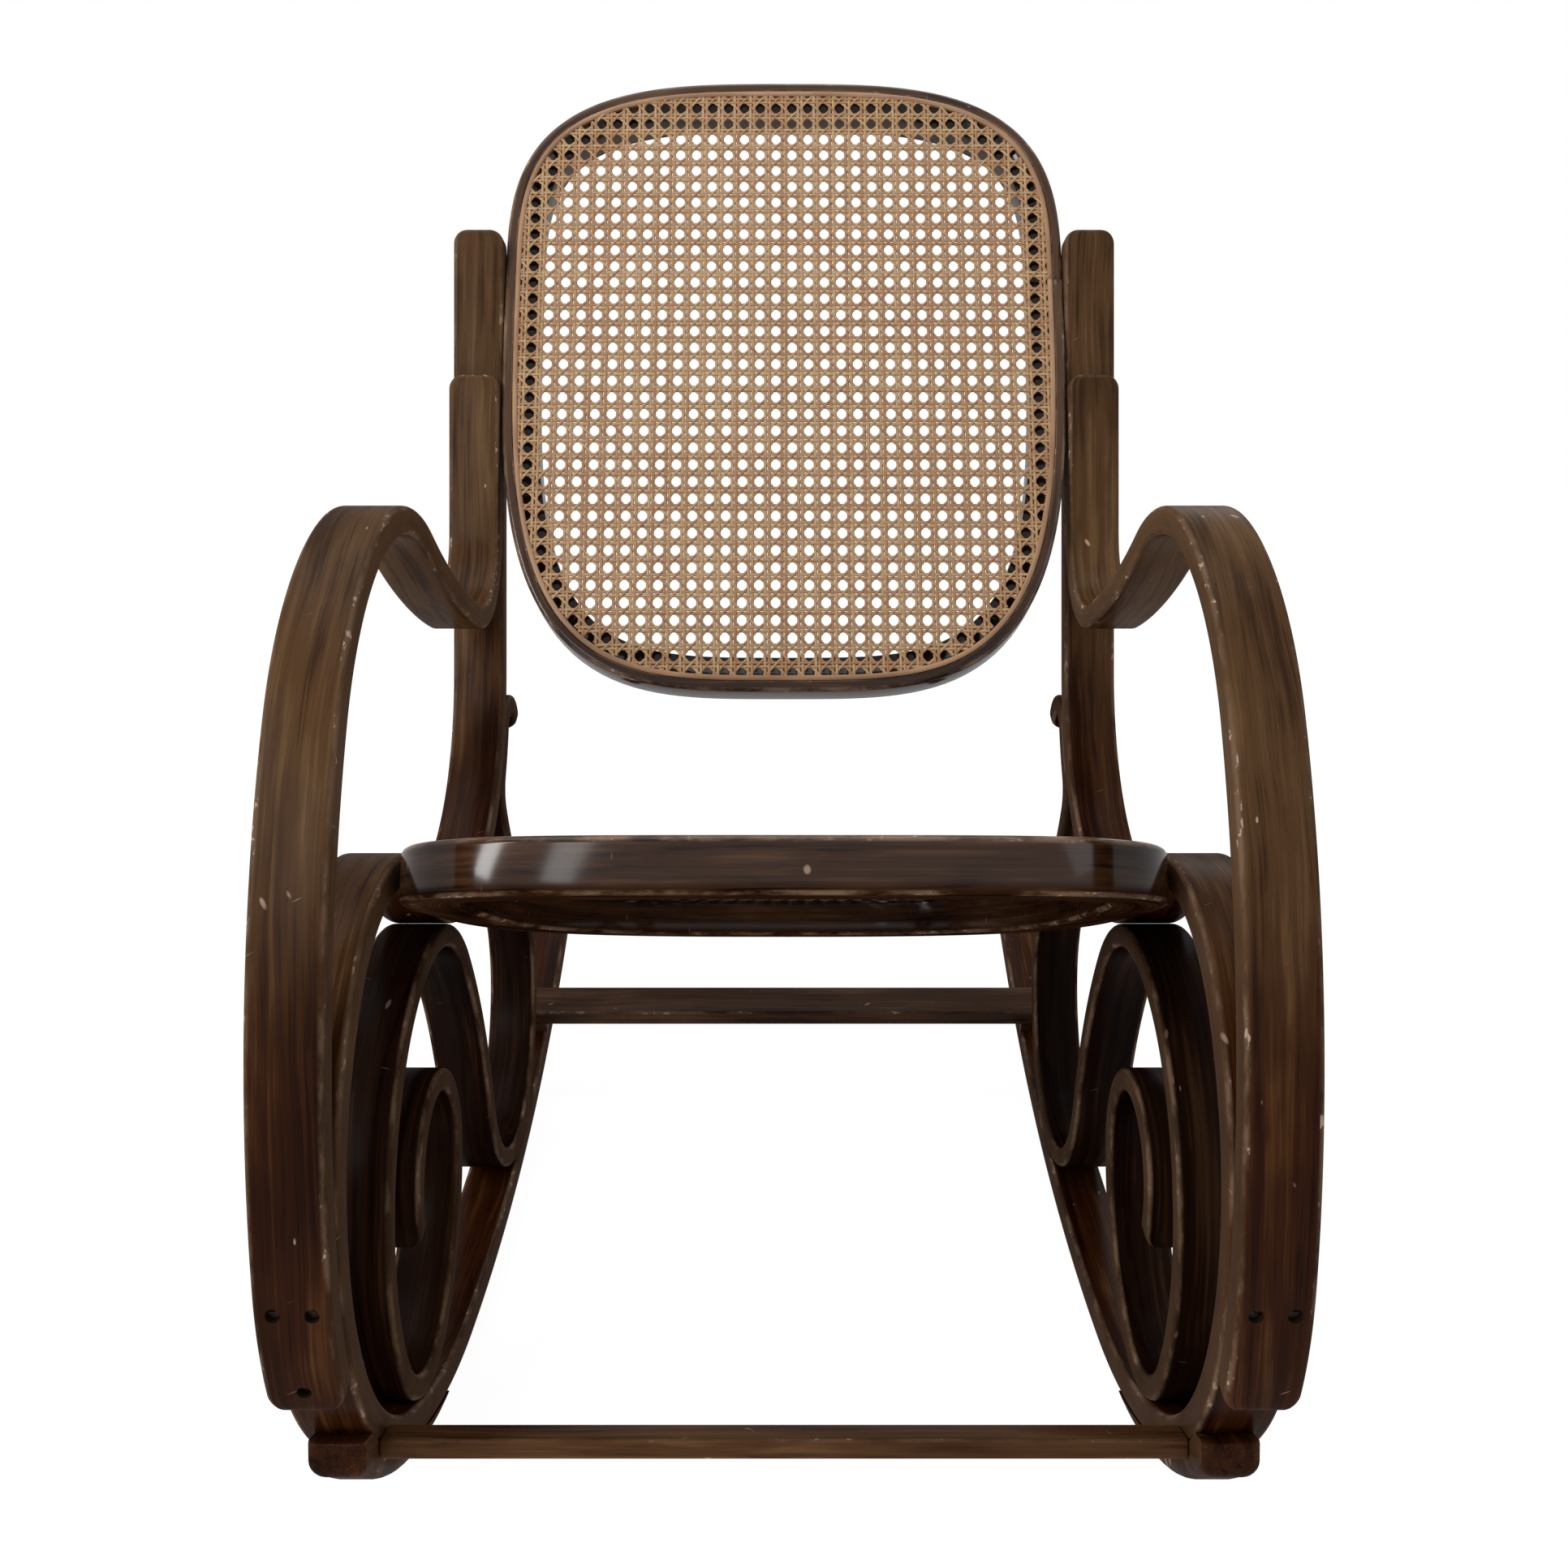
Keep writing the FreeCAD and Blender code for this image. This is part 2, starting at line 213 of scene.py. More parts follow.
def labelled(mesh, **values):
    # keeps lists of numbers on the mesh's points, three to a point for a vector
    for name, numbers in values.items():
        vector = len(numbers) == 3 * len(mesh.vertices)
        layer = mesh.attributes.new(name, "FLOAT_VECTOR" if vector else "FLOAT", "POINT")
        layer.data.foreach_set("vector" if vector else "value", numbers)


def settle(name, mesh):
    # outward faces, then the object at the origin
    volume = 0.0
    mesh.calc_loop_triangles()
    for t in mesh.loop_triangles:
        a, b, c = (mesh.vertices[i].co for i in t.vertices)
        volume += a.dot(b.cross(c))
    if volume < 0:
        mesh.flip_normals()
    return linked(name, mesh)


def grow(name, tree, values, data=None, place=None):
    # runs a geometry tree on a curve or mesh and keeps the result as a plain mesh
    source = linked("seed", bpy.data.meshes.new("seed") if data is None else data)
    modifier = source.modifiers.new("grow", "NODES")
    modifier.node_group = tree
    labels = {s.name: s.identifier for s in tree.interface.items_tree if s.in_out == "INPUT"}
    for label, value in values.items():
        modifier[labels[label]] = value
    mesh = meshOf(source)
    bpy.data.objects.remove(source)
    if place is not None:
        mesh.transform(place)
    return settle(name, mesh)


def quarter(steps):
    # 1 - sine and 1 - cosine at even steps round a quarter turn
    return [(1 - math.sin(a), 1 - math.cos(a))
            for a in (math.pi / 2 * k / steps for k in range(steps + 1))]


# A bend is (radius, turn in degrees), positive to the left; a straight run is (0, length).

def unit(heading):
    return math.cos(math.radians(heading)), math.sin(math.radians(heading))


def leftOf(heading):
    c, s = unit(heading)
    return -s, c


def shifted(point, direction, distance):
    return point[0] + direction[0] * distance, point[1] + direction[1] * distance


def along(start, heading, bend, share):
    radius, amount = bend
    if radius == 0:
        return shifted(start, unit(heading), amount * share), heading
    side = math.copysign(1, amount)
    centre = shifted(start, leftOf(heading), side * radius)
    turned = heading + amount * share
    return shifted(centre, leftOf(turned), -side * radius), turned


def traced(start, heading, bends):
    run = []
    for bend in bends:
        run.append((start, heading, bend))
        start, heading = along(start, heading, bend, 1.0)
    return run


def shareAt(run, index, heading):
    return (heading - run[index][1]) / run[index][2][1]


def runLength(piece):
    radius, amount = piece[2]
    return amount if radius == 0 else radius * math.radians(abs(amount))


bandStrip = {
    "top": 839.0,
    "bends": [(0, 346.0), (172.0, -117.5), (128.5, 86.5), (178.5, 108.0), (405.0, 25.0),
              (1115.0, 31.0)],
}
armStrip = {
    "top": 721.0,
    "footHeading": -57.0,
    "bends": [(196.5, -21.5), (540.0, -29.5), (192.0, -42.0), (132.5, -48.0), (560.0, 16.5)],
}
scrollStrip = {
    "heading": -103.0,
    "bends": [(189.0, -12.0), (28.5, 64.5), (231.0, 27.0), (99.5, -67.0), (134.7, -42.0),
              (98.5, -113.0), (334.8, 26.0), (108.5, 53.5), (149.0, 117.5), (68.2, 76.5),
              (49.0, 5.0), (129.0, 59.5), (56.0, 214.0)],
    "curl": (25.0, 150.0),
}

bandRun = traced((0.0, bandStrip["top"]), -90.0, bandStrip["bends"])

lap = (chair["bandThick"] + chair["armThick"]) / 2
foot, footHeading = along(*bandRun[3], shareAt(bandRun, 3, armStrip["footHeading"]))
armRun = traced(shifted(foot, leftOf(footHeading), -lap), footHeading + 180,
                armStrip["bends"])
restEnd, restHeading = along(*armRun[-1], 1.0)
elbow = (-lap - restEnd[0]) / (1 - math.sin(math.radians(restHeading)))
armRun += traced(restEnd, restHeading, [(elbow, 90 - restHeading)])
elbowEnd, up = along(*armRun[-1], 1.0)
armRun += traced(elbowEnd, up, [(0, armStrip["top"] - elbowEnd[1])])

nest, nestHeading = along(*bandRun[1], shareAt(bandRun, 1, scrollStrip["heading"]))
nest = shifted(nest, leftOf(nestHeading), (chair["bandThick"] + chair["scrollThick"]) / 2)
curlRadius, curlTurn = scrollStrip["curl"]
curlTip, tipHeading = along(nest, nestHeading + 180, (curlRadius, -curlTurn), 1.0)
scrollRun = traced(curlTip, tipHeading + 180,
                   [(curlRadius, curlTurn)] + scrollStrip["bends"])


def leaned(u, v):
    return u * math.cos(lean) + v * math.sin(lean), v * math.cos(lean) - u * math.sin(lean)


def centreOf(piece):
    start, heading, (radius, amount) = piece
    return shifted(start, leftOf(heading), math.copysign(radius, amount))


# the chair stands with its rockers at height 0 and its loops where the frame has them
halfBand = chair["bandThick"] / 2
floorDrop = leaned(*centreOf(bandRun[5]))[1] - bandStrip["bends"][5][0] - halfBand
loopFront = leaned(*centreOf(bandRun[3]))[0] - bandStrip["bends"][3][0] - halfBand
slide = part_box("right_side_band")[0].y * 1000 - loopFront


def placed(x, u, v):
    y, z = leaned(u, v)
    return Vector((x, y + slide, z - floorDrop)) / 1000


standing = Matrix.Translation(placed(0, 0, 0)) @ Matrix.Rotation(-lean, 4, "X")


def seated(point, turn):
    # place of a flat drawing with its origin at a point of the elevation, turned about x
    return (standing @ Matrix.Translation(Vector((0, *point)) / 1000)
            @ Matrix.Rotation(math.radians(turn), 4, "X"))


# Each range of tones holds dark, middle and light streaks, for the parts near the floor and for
# the high parts; the wood is darker towards the floor and lighter and greyer towards the top.
stain = {
    "low": ((0.010, 0.0024, 0.0008), (0.029, 0.0078, 0.0020), (0.066, 0.024, 0.0065)),
    "high": ((0.036, 0.0165, 0.0075), (0.082, 0.0405, 0.0170), (0.132, 0.074, 0.036)),
    "fade": (0.31, 0.49),            # heights between which the low tones give way
    # lighter tones for the narrow sides: a painted sheen, where they catch light at a slant
    "flankSheenLow": (0.095, 0.052, 0.028), "flankSheenHigh": (0.125, 0.072, 0.041),
    "flankSheenShare": 0.75,                # how far the narrow sides take the painted sheen
    "golden": (0.135, 0.068, 0.022), "goldShare": 0.5,
    "worn": (0.16, 0.098, 0.060), "wornShare": 0.4,
    "bare": (0.52, 0.38, 0.28), "wear": 1.0, "smudge": 0.5, "scratchTilt": 0.5,
    "roughness": 0.5, "shine": 0.0, "coat": 0.10, "coatRoughness": 0.27,
}
# Patterns in the wood: scale along the grain, scale across it, detail and roughness.
patterns = {
    "drift": (5, 14, 2.0, 0.5), "fine": (13, 620, 3.0, 0.6), "broad": (6, 190, 3.0, 0.55),
    "cloud": (9, 34, 3.0, 0.55), "fleck": (130, 1300, 1.0, 0.5), "smudge": (4, 30, 3.0, 0.6),
    "rub": (22, 60, 4.0, 0.65), "chip": (120, 200, 3.0, 0.6),
}
# Marks in the lacquer: scales along, across and through, then a mark's size in its cell, the
# size at which it has faded out and the share of cells without a mark.
dents = {
    "scratch": (24, 62, 30, 0.045, 0.10, 0.83),
    "dot": (60, 150, 100, 0.05, 0.12, 0.93),
    "hair": (30, 420, 40, 0.04, 0.13, 0.93),
}


def woodFinish(name, own, fromObject=False):
    # the grain attribute holds metres along, across and through the wood
    values = {**stain, **own}
    dark = values["low"][0]

    def build(g):
        x, y, z = g.parts(g.spot())
        a, b, c = (x, y, z) if fromObject else g.grain()

        def pattern(name, lengthwise=a, across=b):
            stretch, pack, detail, rough = patterns[name]
            return g.noise(g.vector(lengthwise * stretch, across * pack, c * pack), detail, rough)

        def dented(name, lengthwise, across):
            # ragged spots in a few cells of a cell pattern
            length, width, depth, inside, outside, rarity = dents[name]
            spot = g.vector(lengthwise * length, across * width, c * depth)
            cell = g.add("TexVoronoi", {"feature": "F1"}, {"Vector": spot, "Scale": 1.0})
            near = (cell + (rub - 0.5) * 0.12).ramp(inside, outside)
            return (1 - near) * (g.parts(cell.also("Color"))[0] > rarity)
        across = b + (pattern("drift") - 0.5) * 0.02
        fine, broad = pattern("fine", a, across), pattern("broad", a, across)
        cloud, rub = pattern("cloud"), pattern("rub")
        fleck = pattern("fleck").ramp(0.64, 0.74)
        figure = fine * 0.25 + broad * 0.35 + cloud * 0.4
        high = (z + (cloud - 0.5) * 0.12).ramp(*values["fade"])

        def streaks(tones):
            dim = g.mixed(figure.ramp(0.40, 0.5), tones[0], tones[1])
            return g.mixed(figure.ramp(0.5, 0.63), dim, tones[2])
        colour = g.mixed(high, streaks(values["low"]), streaks(values["high"]))
        smudge = pattern("smudge", a + 1.825).ramp(0.5, 0.66)
        colour = g.mixed(smudge * values["smudge"], colour, dark)
        gold = (broad * 0.55 + cloud * 0.45).ramp(0.55, 0.68) * (high * 0.6 + 0.4)
        colour = g.mixed(gold * values["goldShare"], colour, values["golden"])
        colour = g.mixed(fleck * 0.25, colour, dark)
        slant, steep = a + b * values["scratchTilt"], b - a * values["scratchTilt"]
        marks = dented("scratch", slant, steep).most(dented("dot", a, b))
        marks = marks.most(dented("hair", steep, slant) * 0.8)
        marks = marks * (cloud.ramp(0.38, 0.52) * values["wear"])
        lacquer = 1.0
        if not fromObject:
            flank, edge = g.attribute("flank"), g.attribute("edge")
            # the narrow sides are painted lighter: a painted sheen where they catch light at a
            # slant
            rim = g.mixed(high, values["flankSheenLow"], values["flankSheenHigh"])
            colour = g.mixed(flank * values["flankSheenShare"] * (0.75 + (rub - 0.5)), colour, rim)
            soft = edge * rub.ramp(0.42, 0.62) * values["wornShare"]
            colour = g.mixed(soft, colour, values["worn"])
            lacquer = 1 - flank * 0.7
            chips = edge.ramp(0.25, 0.7) * pattern("chip").ramp(0.58, 0.64)
            marks = marks.most(chips * rub.ramp(0.52, 0.58) * values["wear"])
        # the wood under the cane is painted nearly black: painted shade in the hollow under the
        # web
        if "ledgeShade" in values:
            inset, height = values["ledgeFrom"]
            inner = (b > inset) * (c > height)
            colour = g.mixed(inner * 0.9, colour, values["ledgeShade"])
            lacquer = c.ramp(*values["lacquerFrom"])
        return {
            "Base Color": g.mixed(marks * 0.8, colour, values["bare"]),
            "Roughness": values["roughness"] + (rub - 0.5) * 0.25 + marks * 0.3,
            "Coat Weight": (1 - marks) * values["coat"] * lacquer,
            "Coat Roughness": values["coatRoughness"],
            "Specular IOR Level": values["shine"],
            "Normal": g.bump(0.2, 0.0004, fine * 0.22 + rub * 0.12 - marks * 0.8 - fleck * 0.12),
        }
    return finish(name, build)


glossy = {
    "low": ((0.009, 0.0026, 0.0011), (0.032, 0.0130, 0.0058), (0.066, 0.031, 0.0150)),
    "high": ((0.030, 0.0125, 0.006), (0.070, 0.034, 0.0165), (0.110, 0.058, 0.030)),
    "fade": (0.44, 0.60), "worn": (0.24, 0.15, 0.095), "wornShare": 0.8, "wear": 0.8,
    "goldShare": 0.3, "smudge": 0.15, "coat": 0.45, "coatRoughness": 0.12,
    "ledgeShade": (0.006, 0.0025, 0.0012),    # painted shade on the wood under the cane
    "ledgeFrom": (0.0085, -0.007),       # starts at this inset and ends at this height
    "lacquerFrom": (-0.0285, -0.023),    # heights between which the lacquer starts
}
reddish = {
    "low": ((0.040, 0.0160, 0.0065), (0.078, 0.0345, 0.0140), (0.115, 0.056, 0.0235)),
    "golden": (0.15, 0.075, 0.028), "fade": (2.0, 3.0), "wear": 0.6,
}
# darker tones for the rear bar and the blocks low under the seat: painted shade
shaded = {
    "low": ((0.018, 0.0068, 0.0032), (0.042, 0.0195, 0.0105), (0.072, 0.036, 0.0200)),
    "fade": (2.0, 3.0), "wear": 0.4, "goldShare": 0.15,
}
# darker tones for the scroll, which lies between the band and the arm: painted shade
scrollShadeTones = {
    "low": ((0.003, 0.0009, 0.0004), (0.009, 0.0033, 0.0016), (0.024, 0.0105, 0.0052)),
    "high": ((0.007, 0.0028, 0.0013), (0.020, 0.0088, 0.0043), (0.044, 0.022, 0.0115)),
    "wear": 0.2, "goldShare": 0.1, "scratchTilt": 0.2, "coat": 0.05,
}
armWood = woodFinish("arm_wood", {})
bandWood = woodFinish("band_wood", {"wear": 0.5, "scratchTilt": -0.4})
scrollShadeWood = woodFinish("scroll_wood_painted_shade", scrollShadeTones)
ringWood = woodFinish("ring_wood", glossy)
frontBarWood = woodFinish("front_bar_wood", reddish)
rearBarWood = woodFinish("rear_bar_wood", shaded)
toeWood = woodFinish("toe_wood", {"wear": 1.2})
blockWood = woodFinish("block_wood", shaded, fromObject=True)
print("wood finishes made")


def stripTree():
    g, given = growth("bent_strip", {"Float": "Thickness, Grain Start"})
    halfWide, halfThick = chair["stripWidth"] / 2000, given["Thickness"] * 0.5
    rounding, tipRound, tipWear = (chair[k] / 1000 for k in ("edgeRound", "tipRound", "tipWear"))
    # the section, kept as attributes across and through the strip
    section = g.add("CurvePrimitiveQuadrilateral", {"mode": "RECTANGLE"},
                    {"Width": halfWide * 2, "Height": given["Thickness"]})
    section = g.add("FilletCurve", {"mode": "POLY"},
                    {"Curve": section, "Radius": rounding, "Count": 5, "Limit Radius": True})
    section = g.add("CaptureAttribute", {"keep": {"Spot": "VECTOR"}},
                    {"Geometry": section, "Spot": g.position()})
    across, through = g.parts(section.also("Spot"))[:2]
    # the path, kept as length and middle point
    way = g.add("SplineParameter", out="Length")
    path = g.add("CaptureAttribute", {"keep": {"Way": "FLOAT", "Middle": "VECTOR"}},
                 {"Geometry": given["Geometry"], "Way": way, "Middle": g.position()})
    total = g.add("CurveLength", {0: given["Geometry"]})
    body = g.swept(path, section)
    length, middle = path.also("Way"), path.also("Middle")
    fromTip = length.calc("MINIMUM", total - length)

    def narrowed(radius, half):
        # share of the half size left at this distance from the tip
        gap = radius - fromTip.calc("MINIMUM", radius)
        inside = (radius * radius - gap * gap).most(0)
        return (half - radius + inside.calc("SQRT")) / half
    wide, thick = narrowed(tipRound, halfWide), narrowed(rounding, halfThick)
    moved = [(now - mid) * share + mid for now, mid, share in
             zip(g.parts(g.position()), g.parts(middle), (wide, thick, thick))]
    body = g.add("SetPosition", {"Geometry": body, "Position": g.vector(*moved)})
    nearSide = ((abs(across) - halfWide + rounding) / rounding).ramp(0.0, 1.0)
    nearFace = ((abs(through) - halfThick + rounding) / rounding).ramp(0.0, 1.0)
    tip = 1 - (fromTip / tipWear).ramp(0.0, 1.0)
    grain = g.vector(length + given["Grain Start"], across, through)
    body = g.stored(body, "grain", grain, "FLOAT_VECTOR")
    body = g.stored(body, "edge", (nearSide * nearFace * 4).most(tip * 0.8))
    body = g.stored(body, "flank", nearSide)
    body = g.add("SetShadeSmooth", {"Geometry": body})
    return closeGrowth(g, body, given)


def pathCurve(run, x, spacing=3.0):
    # points along a run, closer at both ends
    lengths = [runLength(piece) for piece in run]
    total, tip = sum(lengths), chair["tipRound"]
    marks = [tip * rise for fall, rise in quarter(8)]
    count = max(2, int((total - 2 * tip) / spacing))
    inner = [tip + (total - 2 * tip) * i / count for i in range(1, count)]
    marks = marks + inner + [total - m for m in reversed(marks)]
    curve = bpy.data.curves.new("path", "CURVE")
    curve.dimensions = "3D"
    spline = curve.splines.new("POLY")
    spline.points.add(len(marks) - 1)
    for point, mark in zip(spline.points, marks):
        k = 0
        while k < len(run) - 1 and mark > lengths[k]:
            mark -= lengths[k]
            k += 1
        spot = along(*run[k], min(1.0, mark / lengths[k]))[0]
        point.co = (*placed(x, *spot), 1)
    return curve


footHoles = {
    "radius": 3.7, "deep": 7.0, "headDeep": 5.0,
    "spots": ((0.82, 9.7), (0.82, 29.0), (0.2, 19.0)),     # share of the foot's bend, across
    "open": {-1: 3, 1: 2},             # holes left open on the left and the right arm
}


def screwSpot(run, index, share, side, across, thick, inside=0.0):
    # place of a screw on one broad face of a right hand strip and the way it looks out
    point, heading = along(*run[index], share)
    out = leftOf(heading)
    u, v = shifted(point, out, side * thick / 2 - side * inside)
    return (chair["frameHalf"] + across, u, v), (0, side * out[0], side * out[1])


def aimed(aim, sign=1):
    y, z = leaned(aim[1], aim[2])
    return Vector((aim[0] * sign, y, z))


def drilled(piece, spots):
    # cuts round blind holes, each given as place and way out
    radius, deep = footHoles["radius"], footHoles["deep"]
    drills = bmesh.new()
    for spot, out in spots:
        turn = out.to_track_quat("Z", "Y").to_matrix().to_4x4()
        bmesh.ops.create_cone(drills, cap_ends=True, segments=28, radius1=radius / 1000,
                              radius2=radius * 1.05 / 1000, depth=2 * deep / 1000,
                              matrix=Matrix.Translation(spot) @ turn)
    mesh = bpy.data.meshes.new("drills")
    drills.to_mesh(mesh)
    mesh.materials.append(drilledShadeWood)
    cutter = linked("drills", mesh)
    cut = piece.modifiers.new("holes", "BOOLEAN")
    cut.operation, cut.solver, cut.object = "DIFFERENCE", "EXACT", cutter
    cut.material_mode = "TRANSFER"
    done = meshOf(piece)
    piece.modifiers.clear()
    bpy.data.objects.remove(cutter)
    done.set_sharp_from_angle(angle=sharpAngle)
    # new corners beside the holes take their grain from the surface that was there
    whole, nearby = piece.data, 4 * radius / 1000
    corners = [vertex.co.copy() for vertex in whole.vertices]
    tree = BVHTree.FromPolygons(corners, [tuple(face.vertices) for face in whole.polygons])
    for vertex in done.vertices:
        if min((vertex.co - spot[0]).length for spot in spots) < nearby:
            found = tree.find_nearest(vertex.co)
            around = list(whole.polygons[found[2]].vertices)
            shares = poly_3d_calc([corners[k] for k in around], found[0])
            for name, kind in (("grain", "vector"), ("edge", "value"), ("flank", "value")):
                before, after = whole.attributes[name].data, done.attributes[name].data
                total = sum((getattr(before[k], kind) * share for k, share in zip(around, shares)),
                            Vector((0, 0, 0)) if kind == "vector" else 0.0)
                setattr(after[vertex.index], kind, total)
    piece.data = done


# near-black walls of the screw holes: painted shade in the hollows
def holeShadeWood(g):
    grit = g.noise(g.spot(), 3.0, scale=700.0)
    return {"Base Color": g.mixed(grit, (0.004, 0.0018, 0.001), (0.016, 0.008, 0.004)),
            "Roughness": 0.8, "Specular IOR Level": 0.1}


sides = (("left", -1), ("right", 1))
drilledShadeWood = finish("drilled_wood_painted_shade", holeShadeWood)
stripMaker = stripTree()
middleX = chair["frameHalf"] + chair["stripWidth"] / 2
strips = (("side_band", bandRun, chair["bandThick"], bandWood),
          ("arm", armRun, chair["armThick"], armWood),
          ("scroll", scrollRun, chair["scrollThick"], scrollShadeWood))
seed = 0
for side, sign in sides:
    for name, run, thick, wood in strips:
        seed += 1
        piece = grow(side + "_" + name + "_wood", stripMaker, {
            "Thickness": thick / 1000, "Grain Start": seed * 3.7, "Material": wood},
            pathCurve(run, sign * middleX))
        if name == "arm":
            spots = []
            for share, across in footHoles["spots"][:footHoles["open"][sign]]:
                (x, u, v), out = screwSpot(armRun, 0, share, 1, across, thick)
                spots.append((placed(sign * x, u, v), aimed(out, sign)))
            drilled(piece, spots)
        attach(piece, "root")
        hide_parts(side + "_" + name)
print("bent strips made")


seat = {
    "front": 195.0, "rear": 250.0, "powers": (4.5, 2.8), "slope": 8.4,
    "edge": (-429.0, 379.4), "tall": 31.0, "wide": 33.0, "middle": 0.0,
    "rounds": (4.0, 3.0, 3.0),         # upper outer, lower outer, lower inner edge
    "holeShift": (6.35, 0.0),          # of a hole's middle from the ring's axes
}
back = {
    "front": 333.0, "rear": 173.0, "powers": (3.6, 3.2), "lean": 10.9,
    "face": (-18.0, 722.7), "tall": 29.0, "wide": 27.0, "middle": 80.0,
    "rounds": (3.0, 4.0, 3.0), "holeShift": (6.35, -4.9),
}
rebate = {
    "rim": 8.0, "groove": 4.5, "proud": 0.9, "crown": 1.2, "depth": 4.0, "slack": 0.2,
    "reedPale": (0.40, 0.235, 0.13), "reedDeep": (0.27, 0.145, 0.075),
}
ringHalf = chair["frameHalf"] - 0.3
seatMiddle = shifted(seat["edge"], unit(-seat["slope"]), seat["front"])
seatPlace, backPlace = seated(seatMiddle, -seat["slope"]), seated(back["face"], 90 - back["lean"])
rings = (("seat", seat, seatPlace, 31.0), ("back", back, backPlace, 47.0))


def outlineAt(ring, angle, inset):
    # point of the oval outline, moved inwards at right angles to it
    c, s = math.cos(angle), math.sin(angle)
    half = "rear" if s >= 0 else "front"
    depth, power = ring[half], ring["powers"][1 if s >= 0 else 0]
    reach = (abs(c / ringHalf) ** power + abs(s / depth) ** power) ** (-1 / power)
    x, y = c * reach, s * reach
    nx = math.copysign(abs(x / ringHalf) ** (power - 1) / ringHalf, x)
    ny = math.copysign(abs(y / depth) ** (power - 1) / depth, y)
    size = math.hypot(nx, ny)
    return x - inset * nx / size, y - inset * ny / size + ring["middle"]


def roundedSection(corners, steps=4):
    # corners are (inset, height, radius); gives (inset, height, edge wear)
    points = []
    count = len(corners)
    for i, (a, h, radius) in enumerate(corners):
        here = Vector((a, h))
        before = (Vector(corners[i - 1][:2]) - here).normalized()
        after = (Vector(corners[(i + 1) % count][:2]) - here).normalized()
        if radius == 0:
            points.append((a, h, 0.0))
            continue
        half = math.acos(max(-1, min(1, before.dot(after)))) / 2
        cut = radius / math.tan(half)
        centre = here + (before + after).normalized() * (radius / math.sin(half))
        first, last = here + before * cut - centre, here + after * cut - centre
        for k in range(steps + 1):
            t = k / steps
            spot = first.lerp(last, t)
            spot = centre + spot.normalized() * radius
            points.append((spot.x, spot.y, math.sin(math.pi * t)))
    return points


def loft(name, rows, material, **labels):
    # a skin over rows of points round a closed section, with both ends closed
    n, last = len(rows[0]), len(rows) - 1
    faces = []
    for i in range(0, last * n, n):
        faces += [(i + k, i + (k + 1) % n, i + n + (k + 1) % n, i + n + k) for k in range(n)]
    faces += [tuple(range(n - 1, -1, -1)), tuple(range(last * n, last * n + n))]
    mesh = bpy.data.meshes.new(name)
    mesh.from_pydata([point for row in rows for point in row], [], faces)
    labelled(mesh, **labels)
    mesh.polygons.foreach_set("use_smooth", [len(f) == 4 for f in faces])
    mesh.materials.append(material)
    return settle(name, mesh)


def sweep(name, stations, section, material, grainStart):
    # lofts a section through stations of (way along, point maker)
    rows = [[spot(inset, height) for inset, height, edge in section] for way, spot in stations]
    grains = []
    for way, spot in stations:
        for inset, height, edge in section:
            grains += (way / 1000 + grainStart, inset / 1000, height / 1000)
    edges = [edge for inset, height, edge in section] * len(stations)
    return loft(name, rows, material, grain=grains, edge=edges)


def ringStations(ring, place, count=240):
    # once round the outline, from one side of the scarf joint to the other
    stations, travelled, last = [], 0.0, None
    for i in range(count + 1):
        angle = 2 * math.pi * i / count
        here = outlineAt(ring, angle, 0)
        travelled += math.dist(here, last) if last else 0.0
        last = here

        def spot(inset, height, angle=angle):
            x, y = outlineAt(ring, angle, inset)
            return place @ (Vector((x, y, height)) / 1000)
        stations.append((travelled, spot))
    return stations


def ringSection(ring):
    rim, floor = rebate["rim"], -rebate["depth"]
    upper, lower, inner = ring["rounds"]
    return roundedSection([
        (0, -ring["tall"], lower), (0, 0, upper), (rim, 0, 1.0), (rim, floor, 0),
        (ring["wide"], floor, 1.0), (ring["wide"], -ring["tall"], inner)])


def splineSection(steps=8):
    # a half round crown on a straight root
    rise = rebate["crown"]
    middle, half = rebate["rim"] + rebate["groove"] / 2, rebate["groove"] / 2 - rebate["slack"]
    crown = [(middle - half * math.cos(a), rebate["proud"] - rise + rise * math.sin(a), 0)
             for a in (math.pi * k / steps for k in range(steps + 1))]
    root = -rebate["depth"] - 1
    return [(middle - half, root, 0)] + crown + [(middle + half, root, 0)]


for name, ring, place, start in rings:
    wood = sweep(name + "_ring_wood", ringStations(ring, place), ringSection(ring), ringWood,
                 start)
    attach(wood, "root")
    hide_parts(name + "_ring")
print("rings made")


cane = {
    "pitchX": 12.7, "pitchY": 13.8,       # from hole to hole
    "pairGap": 2.9,                       # between the middles of two strands of a pair
    "strandWide": 2.45, "diagonalWide": 1.9, "strandThick": 0.9,
    "weave": 0.38, "rise": 0.75,          # up and down of the pairs, of the diagonals
    "height": -0.6, "tuck": 2.5,          # height of the web, its reach beyond the rim
    "pale": (0.52, 0.345, 0.18), "warm": (0.375, 0.195, 0.095),
    "dull": (0.32, 0.20, 0.115), "dark": (0.13, 0.062, 0.03),
}


